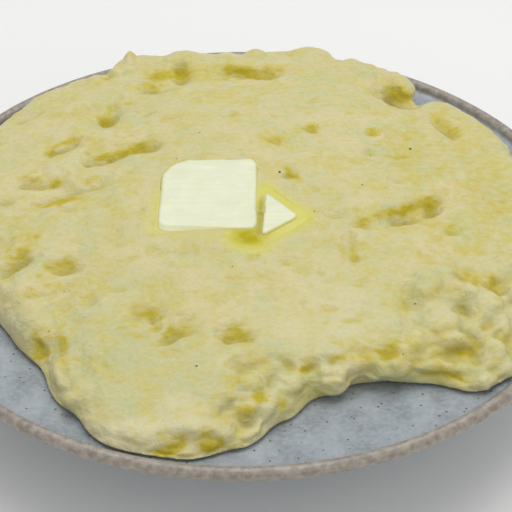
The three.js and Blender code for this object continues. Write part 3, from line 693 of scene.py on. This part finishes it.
def creamedPotato():  # beaten with milk and butter: moist and matte, with light glowing in its hollows
    material, tree, shader = startMaterial(
        "creamed_potato", IOR=1.4, Subsurface_Weight=0.3, Subsurface_Radius=(1.0, 0.7, 0.2),
        Subsurface_Scale=2.4 * mm, Specular_IOR_Level=0.25)
    place = addNode(tree, "ShaderNodeTexCoord").outputs["Object"]
    cavity, wet, buttery, cooled, pale = (
        addNode(tree, "ShaderNodeAttribute", {"attribute_name": name}).outputs["Fac"]
        for name in ("cavity", "wet", "buttery", "cooled", "pale"))
    broad = noiseBand(tree, place, 26 * mm, 0.38, 0.62, 2.0)
    blotch = noiseBand(tree, place, 8 * mm, 0.47, 0.64, 4.0)
    elsewhere = addNode(tree, "ShaderNodeMapping", {"Location": (0.31, 0.17, 0)}, {"Vector": place})
    milky = noiseBand(tree, elsewhere.outputs[0], 10 * mm, 0.5, 0.68)
    fine = noiseBand(tree, place, 1.5 * mm, 0.35, 0.65, 4.0, (0.8, 1, 1))
    # the butter beaten in gathers in ragged spots
    ragged = noiseBand(tree, place, 2.2 * mm, 0.32, 0.68, 5.0, (0.65, 1, 1))
    spots = addNode(tree, "ShaderNodeMath", {"operation": "MULTIPLY_ADD", 1: 0.5},
                    {0: ragged, 2: buttery}).outputs[0]
    shallow, deep, creaseShade = (
        addNode(tree, "ShaderNodeMapRange", {"From Min": low, "From Max": high}, {"Value": value}).outputs[0]
        for value, low, high in ((spots, 0.3, 0.95), (spots, 0.7, 1.35), (cavity, 0.1, 0.85)))
    # butter deepens the colour, melted or beaten in; painted shade deepens it in the marks, hollows and
    # creases and greys it on shaded slopes, and painted light makes it paler on lit tops
    tone = coat(tree, "#d4c998", (broad, "#ccc58f"), (milky, "#c2c592"), (cooled, "#bcc08e"),
                (blotch, "#cabf6e", 0.85), (pale, "#dbd4ac"), (fine, "#d8d0a6", 0.4), (wet, "#d6d15a"),
                (shallow, "#c9ba52"), (deep, "#b5a312"), (creaseShade, "#ab9d3a", 0.85))
    rough = addNode(tree, "ShaderNodeMapRange", {"To Min": 0.46, "To Max": 0.6}, {"Value": blotch})
    rough = addNode(tree, "ShaderNodeMix", {3: 0.2}, {0: wet, 2: rough.outputs[0]}).outputs[0]
    # the back of the spoon drags the paste sideways and opens small pores
    drag = noiseBand(tree, place, 2.2 * mm, 0.3, 0.7, 5.0, (0.6, 1, 1))
    pores = addNode(tree, "ShaderNodeTexVoronoi", {"Scale": 1 / (2.6 * mm)}, {"Vector": place})
    pore = addNode(tree, "ShaderNodeMapRange", {"From Min": 0.08, "From Max": 0.24},
                   {"Value": pores.outputs["Distance"]}).outputs[0]
    grain = noiseBand(tree, place, 0.9 * mm, 0.2, 0.8, 2.0)
    finishShader(tree, shader, tone, rough, (0.75, 0.4 * mm, drag), (0.35, 0.3 * mm, pore),
                 (0.5, 0.2 * mm, grain))
    return material


# butter: a slice off a stick and a cut corner beside it, both softening at their edges

sliceSizes = {
    "width": 33.2 * mm, "depth": 35.3 * mm, "thickness": 7 * mm,
    "corner": 3.5 * mm, "meltedCorner": 11 * mm, "edge": 1.1 * mm,
    "place": (-11.75 * mm, -3.25 * mm, 60.4 * mm), "tilt": 6.4,
    "slant": 1.5 * mm, "flare": 0.7 * mm, "lean": 0.55 * mm, "foot": 1.3 * mm,
    "voxel": 0.42 * mm, "wornRounds": 5, "wander": 0.22 * mm, "rindRounds": 16,
}
cornerSizes = {
    "points": ((7.6 * mm, -2.7 * mm), (19.1 * mm, -15.7 * mm), (6.1 * mm, -25.6 * mm)),
    "thickness": 6 * mm, "corner": 2.2 * mm, "edge": 0.9 * mm,
    "top": 59.9 * mm, "tilt": 5, "middleY": -13.6 * mm,
    "voxel": 0.36 * mm, "wornRounds": 4, "wander": 0.15 * mm, "rindRounds": 8,
}


def bevelWhere(piece, chosen, size, segments):  # bevels the edges whose two ends pass the test
    startEdit(piece, "DESELECT", "EDGE")
    endEdit()
    for edge in piece.data.edges:
        ends = [piece.data.vertices[i].co for i in edge.vertices]
        edge.select = chosen(*ends)
    bpy.ops.object.mode_set(mode="EDIT")
    bpy.ops.mesh.bevel(offset=size, segments=segments, profile=0.5)
    endEdit()


def alongTop(a, b):  # before it is laid down a piece's top is at 0
    return min(a.z, b.z) > -0.01 * mm


def layDown(piece, tilt, place):  # tilts the piece with the slope of the mash and puts it in its place
    startEdit(piece, "SELECT")
    # with no window a turn runs the other way, so it is given with its sign changed
    bpy.ops.transform.rotate(value=-radians(tilt), orient_axis="X", center_override=(0, 0, 0))
    bpy.ops.transform.translate(value=place)
    endEdit()


def soften(piece, sizes, seat):  # a dense skin, worn edges and a slightly wandering surface
    applyModifier(piece, "REMESH", mode="VOXEL", voxel_size=sizes["voxel"], adaptivity=0)
    applyModifier(piece, "SMOOTH", factor=0.5, iterations=sizes["wornRounds"])
    points, normals = readPoints(piece), readNormals(piece)
    wander = ripple(points, 9 * mm, seat) + 0.35 * ripple(points, 3 * mm, seat)
    writePoints(piece, points + normals * (sizes["wander"] * wander)[:, None])
    smoothShade(piece)


def paintRind(piece, sizes):  # 1 at the worn edges and sides, 0 on the flat of the top
    side = smoothStep(1 - readNormals(piece)[:, 2], 0.02, 0.5)
    paint(piece, "rind", relaxed(piece, side, sizes["rindRounds"]))


def makeSlice(sizes):
    bpy.ops.object.select_all(action="DESELECT")
    bpy.ops.mesh.primitive_cube_add(size=1, location=(0, 0, -sizes["thickness"] / 2),
                                    scale=(sizes["width"], sizes["depth"], sizes["thickness"]))
    piece = bpy.context.object
    piece.name = "butter_pat"
    settle(piece)
    halfWidth, halfDepth = sizes["width"] / 2, sizes["depth"] / 2

    def upright(melted):
        def chosen(a, b):
            isUpright = hypot(a.x - b.x, a.y - b.y) < 0.01 * mm
            isMelted = a.x < -0.9 * halfWidth and a.y > 0.9 * halfDepth
            return isUpright and isMelted == melted
        return chosen

    bevelWhere(piece, upright(True), sizes["meltedCorner"], 10)
    bevelWhere(piece, upright(False), sizes["corner"], 6)
    bevelWhere(piece, alongTop, sizes["edge"], 4)
    layDown(piece, sizes["tilt"], sizes["place"])
    # the melted side has sunk and is a little shorter, and its foot flares out
    points = readPoints(piece)
    share = -(points[:, 0] - sizes["place"][0]) / halfWidth
    points[:, 2] -= sizes["lean"] * share
    near = smoothStep(sizes["place"][1] - points[:, 1], 0, halfDepth)
    points[:, 1] += sizes["slant"] * near * share
    points[:, 0] -= sizes["flare"] * near * smoothStep(share, 0.4, 1)
    writePoints(piece, points)
    soften(piece, sizes, 1.0)
    # the foot of the front spreads as it melts
    points, normals = readPoints(piece), readNormals(piece)
    share = -(points[:, 0] - sizes["place"][0]) / halfWidth
    away = points[:, 1] - sizes["place"][1]
    top = sizes["place"][2] + away * tan(radians(sizes["tilt"])) - sizes["lean"] * share
    spread = sizes["foot"] * (1 + share) * smoothStep(-away, 0.7 * halfDepth, 0.95 * halfDepth)
    points[:, :2] += normals[:, :2] * (spread * smoothStep(top - points[:, 2], 0.3 * mm, 1.8 * mm))[:, None]
    writePoints(piece, points)
    paintRind(piece, sizes)
    return piece


def makeCorner(sizes):
    bpy.ops.object.select_all(action="DESELECT")
    bpy.ops.mesh.primitive_circle_add(vertices=3, fill_type="NGON")
    piece = bpy.context.object
    piece.name = "butter_corner_piece"
    for vertex, (x, y) in zip(piece.data.vertices, sizes["points"]):
        vertex.co = (x, y - sizes["middleY"], -sizes["thickness"])
    startEdit(piece, "SELECT")
    bpy.ops.mesh.extrude_region_move(TRANSFORM_OT_translate={"value": (0, 0, sizes["thickness"])})
    bpy.ops.mesh.select_all(action="SELECT")
    bpy.ops.mesh.normals_make_consistent(inside=False)
    endEdit()
    bevelWhere(piece, lambda a, b: abs(a.z - b.z) > 0.5 * sizes["thickness"], sizes["corner"], 4)
    bevelWhere(piece, alongTop, sizes["edge"], 3)
    layDown(piece, sizes["tilt"], (0, sizes["middleY"], sizes["top"]))
    soften(piece, sizes, 4.0)
    paintRind(piece, sizes)
    return piece


def saltedButter():  # cut cold and left to soften: waxy and ivory, yellower where it dried or melted
    material, tree, shader = startMaterial(
        "salted_butter", IOR=1.46, Subsurface_Weight=0.35, Subsurface_Radius=(1.0, 0.85, 0.5),
        Subsurface_Scale=3 * mm, Specular_IOR_Level=0.5)
    place = addNode(tree, "ShaderNodeTexCoord").outputs["Object"]
    rind = addNode(tree, "ShaderNodeAttribute", {"attribute_name": "rind"}).outputs["Fac"]
    cloud = noiseBand(tree, place, 6 * mm, 0.35, 0.65)
    lines = noiseBand(tree, place, 1.3 * mm, 0.46, 0.6, 2.0, (0.08, 1, 0.3))
    grain = noiseBand(tree, place, 1.1 * mm, 0.25, 0.75)
    edge = addNode(tree, "ShaderNodeMapRange", {"From Min": 0.12, "From Max": 0.75},
                   {"Value": rind}).outputs[0]
    tone = coat(tree, "#e6e8cd", (cloud, "#e0e3c6"), (lines, "#dcdfb2", 0.35), (edge, "#ddd88e"))
    rough = addNode(tree, "ShaderNodeMapRange", {"To Min": 0.42, "To Max": 0.26}, {"Value": edge})
    finishShader(tree, shader, tone, rough.outputs[0], (0.3, 0.12 * mm, lines), (0.18, 0.12 * mm, grain))
    return material


# melted butter: a thin film round the two pieces and between them, deepest below the slice

filmSizes = {
    "cell": 0.5 * mm,
    "depth": 0.14 * mm,                # how far the film stands above the mash in its middle
    "skirt": 0.16 * mm,                # its edge dips this far into the mash
    "thickness": 0.5 * mm,
    "meniscus": 0.2 * mm,              # it climbs this far up the butter's sides
    "region": ((-34 * mm, -38 * mm), (27 * mm, 5 * mm)),
    "pocket": 55.8 * mm,               # what lies below this is the pocket under the butter
    "carryRounds": 40,                 # rounds of averaging that carry the film across the pockets
    "poolMiddle": (1.9 * mm, -25.4 * mm), "poolReach": (5.6 * mm, 4.2 * mm),
    # the rest in millimetres: how far it spreads past its runs, and soaks into the mash past them
    "spread": 1.2, "soak": 4.2,
    "gap": ((6.6, -3), (5.3, -23), 1.2),  # between the two pieces, in their shade: ends and half-width
    "stray": (((0.8, 6, 51), (0.35, 2.4, 53)), ((0.8, 6, 55), (0.35, 2.4, 57))),  # as the mash's
}

# runs of melted butter, in millimetres: from x and y, to x and y, half-width, how much butter
meltRuns = [
    (6.2, -2, 5.9, -24, 1.6, 0.7), (7.4, -2, 20.2, -14.6, 1.6, 0.75), (20.2, -15.6, 8, -25.6, 1.6, 0.75),
    (0.2, -25.6, 3.4, -26.2, 5, 1), (-28.8, -19.5, -28.5, -2, 1.1, 0.5),
    (-28, -20.8, -3, -22.4, 0.9, 0.25),
]


def meltedAt(points, spread):  # 1 in the middle of a run of melted butter, 0 at its edge and beyond
    x, y = strayedPlaces(points, filmSizes["stray"])
    melted = np.zeros(len(points))
    for *ends, halfWidth, amount in meltRuns:
        away = besideLine(x, y, *ends)[1] / (halfWidth + spread)
        melted = np.maximum(melted, amount * np.clip(1.6 - 1.6 * away, 0, 1))
    return melted


def wetness(points):  # how far the mash there has soaked up melted butter
    return meltedAt(points, filmSizes["soak"]) / 1.1


def makeFilm(sizes, mash, butterPieces):
    mashTree, butterTrees = rayTree(mash), [rayTree(piece) for piece in butterPieces]
    low, high = np.array(sizes["region"])
    span = high - low
    bpy.ops.object.select_all(action="DESELECT")
    bpy.ops.mesh.primitive_grid_add(x_subdivisions=int(span[0] / sizes["cell"]),
                                    y_subdivisions=int(span[1] / sizes["cell"]), size=1,
                                    location=(*((low + high) / 2), 0))
    film = bpy.context.object
    film.name = "melted_butter"
    film.scale = (*span, 1)
    settle(film)
    points = readPoints(film)
    melted = meltedAt(points, sizes["spread"])
    butter = np.array([float(any(castDown(tree, x, y)[0] for tree in butterTrees)) for x, y, _ in points])
    hits = [castDown(mashTree, x, y)[0] for x, y, _ in points]
    heights = np.array([hit.z if hit else 0 for hit in hits])
    # beside a piece of butter the line falls into its pocket, so the film is carried across from the mash
    hidden = np.maximum(butter, heights < sizes["pocket"])
    known = (relaxed(film, hidden, 3) < 0.01).astype(float)
    carried = relaxed(film, heights * known, sizes["carryRounds"])
    flat = carried / np.maximum(relaxed(film, known, sizes["carryRounds"]), 1e-9)
    flat = relaxed(film, np.maximum(flat, heights * (hidden < 0.5)), 2)
    raised = smoothStep(melted, 0, 0.8)
    points[:, 2] = flat + (sizes["depth"] + sizes["skirt"]) * raised - sizes["skirt"]
    points[:, 2] += sizes["meniscus"] * raised * smoothStep(relaxed(film, butter, 3), 0, 0.5)
    writePoints(film, points)
    buried = relaxed(film, butter, 4) > 0.97
    startEdit(film, "DESELECT", "VERT")
    endEdit()
    film.data.vertices.foreach_set("select", (melted <= 0) | buried)
    bpy.ops.object.mode_set(mode="EDIT")
    bpy.ops.mesh.delete(type="VERT")
    endEdit()
    applyModifier(film, "SOLIDIFY", thickness=sizes["thickness"], offset=-1)
    points = readPoints(film)
    paint(film, "wet", wetness(points))
    away = (points[:, :2] - sizes["poolMiddle"]) / sizes["poolReach"]
    paint(film, "pooled", np.minimum(1.25 * np.exp(-(away ** 2).sum(axis=1)), 1))
    start, end, halfWidth = sizes["gap"]
    x, y = points[:, :2].T / mm
    share, away, _ = besideLine(x, y, *start, *end)
    paint(film, "shaded", np.exp(-(away / halfWidth) ** 2) * smoothStep(share, 0, 0.35))
    smoothShade(film)
    return film


def meltedButter():  # clarified fat: clear golden yellow with a hard wet gleam
    material, tree, shader = startMaterial("melted_butter", IOR=1.46, Specular_IOR_Level=0.3)
    place = addNode(tree, "ShaderNodeTexCoord").outputs["Object"]
    wet, pooled, shaded = (
        addNode(tree, "ShaderNodeAttribute", {"attribute_name": name}).outputs["Fac"]
        for name in ("wet", "pooled", "shaded"))
    cloud = noiseBand(tree, place, 4 * mm, 0.4, 0.7, 2.0)
    tone = coat(tree, "#cfc68d", (cloud, "#cdc386"), (wet, "#d6d15a"), (pooled, "#b3a600"),
                (shaded, "#aea74a"))
    rough = addNode(tree, "ShaderNodeMapRange", {"To Min": 0.35, "To Max": 0.15}, {"Value": pooled})
    finishShader(tree, shader, tone, rough.outputs[0])
    return material


# ground pepper: the few dark flecks that lie on the mash

pepperSizes = {
    "radius": 0.42 * mm,
    "strays": 26, "seed": 7,           # finer flecks, anywhere on the spread top
    "strayReach": 92 * mm,             # from the bowl's axis
    "straySize": (0.25, 0.5),
    "stretch": (0.7, 1.35),            # each way, for every fleck
    "flatness": 0.6,
    "steepest": 0.5,                   # none rests where the mash's normal is lower than this
    "lift": 0.1 * mm,
    "chipSize": 0.5 * mm, "chipDepth": 0.06 * mm,
}

# the flecks large enough to have a place of their own, in millimetres: x, y, size
pepperPlaces = [
    (59.9, 29.9, 1.2), (12.6, 7.9, 0.9), (-13.9, -81.8, 0.85), (55.7, -51.3, 0.8), (41.3, 5.2, 0.6),
    (24.2, -12, 0.6), (-3.3, -39.4, 0.5), (45, 21.6, 0.5), (14.3, 32.1, 0.4), (48.5, -15.2, 0.4),
]


def makePepper(sizes, mash):
    tree = rayTree(mash)
    draw = np.random.default_rng(sizes["seed"])
    spots = [(x * mm, y * mm, size) for x, y, size in pepperPlaces]
    for _ in range(sizes["strays"]):
        angle, reach = draw.uniform(0, 2 * pi), sizes["strayReach"] * draw.uniform() ** 0.5
        spots.append((reach * cos(angle), reach * sin(angle), draw.uniform(*sizes["straySize"])))
    bpy.ops.object.select_all(action="DESELECT")
    bpy.ops.mesh.primitive_ico_sphere_add(subdivisions=2, radius=sizes["radius"])
    first = bpy.context.object
    flecks = []
    for x, y, size in spots:
        hit, normal = castDown(tree, x, y)
        if hit is None or normal.z < sizes["steepest"]:
            continue
        fleck = first.copy()
        fleck.data = first.data.copy()
        bpy.context.collection.objects.link(fleck)
        fleck.scale = [size * stretch for stretch in draw.uniform(*sizes["stretch"], 3)]
        fleck.scale.z *= sizes["flatness"]
        fleck.rotation_euler = draw.uniform(0, pi, 3) * (0.2, 0.2, 1)
        fleck.location = hit + normal * sizes["lift"] * size
        flecks.append(fleck)
    bpy.data.objects.remove(first)
    selectOnly(flecks[0])
    for fleck in flecks:
        fleck.select_set(True)
    bpy.ops.object.join()
    pepper = bpy.context.object
    pepper.name = "pepper_flecks"
    settle(pepper)
    points = readPoints(pepper)
    chipped = sizes["chipDepth"] * ripple(points, sizes["chipSize"])
    writePoints(pepper, points + readNormals(pepper) * chipped[:, None])
    smoothShade(pepper)
    return pepper


def groundPepper():  # cracked black peppercorn: dull brown-black with paler broken faces
    material, tree, shader = startMaterial("ground_black_pepper", Roughness=0.75)
    place = addNode(tree, "ShaderNodeTexCoord").outputs["Object"]
    broken = noiseBand(tree, place, 0.35 * mm, 0.4, 0.65, 2.0)
    tone = coat(tree, "#2e2a1c", (broken, "#6d6238"))
    finishShader(tree, shader, tone, None, (0.5, 0.1 * mm, broken))
    return material


# making

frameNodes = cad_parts
bowl = makeBowl(bowlSizes)
dress(bowl, stonewareGlaze(), "bowl_glaze", "bowl")
print("bowl:", len(bowl.data.polygons), "faces")

mash = makeMash(mashSizes, [frameNodes["butter_slice"], frameNodes["butter_corner"]])
slicePiece = makeSlice(sliceSizes)
cornerPiece = makeCorner(cornerSizes)
butter = saltedButter()
dress(slicePiece, butter, "butter", "butter_slice")
dress(cornerPiece, butter, "butter", "butter_corner")
print("butter:", len(slicePiece.data.polygons), "and", len(cornerPiece.data.polygons), "faces")

film = makeFilm(filmSizes, mash, [slicePiece, cornerPiece])
dress(film, meltedButter(), "butter")
print("melted butter:", len(film.data.polygons), "faces")

paintCreaseShade(mash, mashSizes)
paint(mash, "wet", wetness(readPoints(mash)))
dress(mash, creamedPotato(), "potato", "mash")

pepper = makePepper(pepperSizes, mash)
dress(pepper, groundPepper(), "potato")
print("pepper:", len(pepper.data.polygons), "faces")


# stage, light and camera

stageSizes = {
    "floor": 6,
    "world": 0.52,
    # each lamp's place, width and power
    "lamps": {"overhead_softbox": ((0.04, 0.2, 1), 0.9, 5.7),
              "side_softbox": ((0.4, -0.9, 0.75), 0.9, 1.8)},
}
cameraSizes = {
    "target": (4.4 * mm, -16.5 * mm, 43 * mm),
    "distance": 560 * mm,
    "lens": 115.1,                     # long, on a film 36 mm wide
    "film": 36,
}


def makeStage(sizes):
    bpy.ops.object.select_all(action="DESELECT")
    bpy.ops.mesh.primitive_plane_add(size=sizes["floor"], location=(0, 0, -0.05 * mm))
    floor = bpy.context.object
    floor.name = "floor"
    material, _, shader = startMaterial("matt_white_board", Roughness=0.8)
    shader.inputs["Base Color"].default_value = linear("#f2f2f0")
    floor.data.materials.append(material)
    world = bpy.data.worlds.new("soft_room")
    bpy.context.scene.world = world
    world.use_nodes = True
    background = world.node_tree.nodes["Background"]
    background.inputs["Color"].default_value = (1, 1, 1, 1)
    background.inputs["Strength"].default_value = sizes["world"]
    for name, (place, width, power) in sizes["lamps"].items():
        bpy.ops.object.light_add(type="AREA", location=place)
        lamp = bpy.context.object
        lamp.name = name
        lamp.data.size = width
        lamp.data.energy = power
        lamp.rotation_euler = (-Vector(place)).to_track_quat("-Z", "Y").to_euler()


def makeCamera(sizes):  # above the diner, looking down at the bowl
    back = Vector((0, -cos(sightTilt), sin(sightTilt)))
    bpy.ops.object.camera_add(location=Vector(sizes["target"]) + sizes["distance"] * back,
                              rotation=(pi / 2 - sightTilt, 0, 0))
    camera = bpy.context.object
    camera.data.lens = sizes["lens"]
    camera.data.sensor_width = sizes["film"]
    camera.data.clip_start = 0.01
    bpy.context.scene.camera = camera


makeStage(stageSizes)
makeCamera(cameraSizes)
bpy.context.scene.view_settings.view_transform = "Standard"
print("stage set")
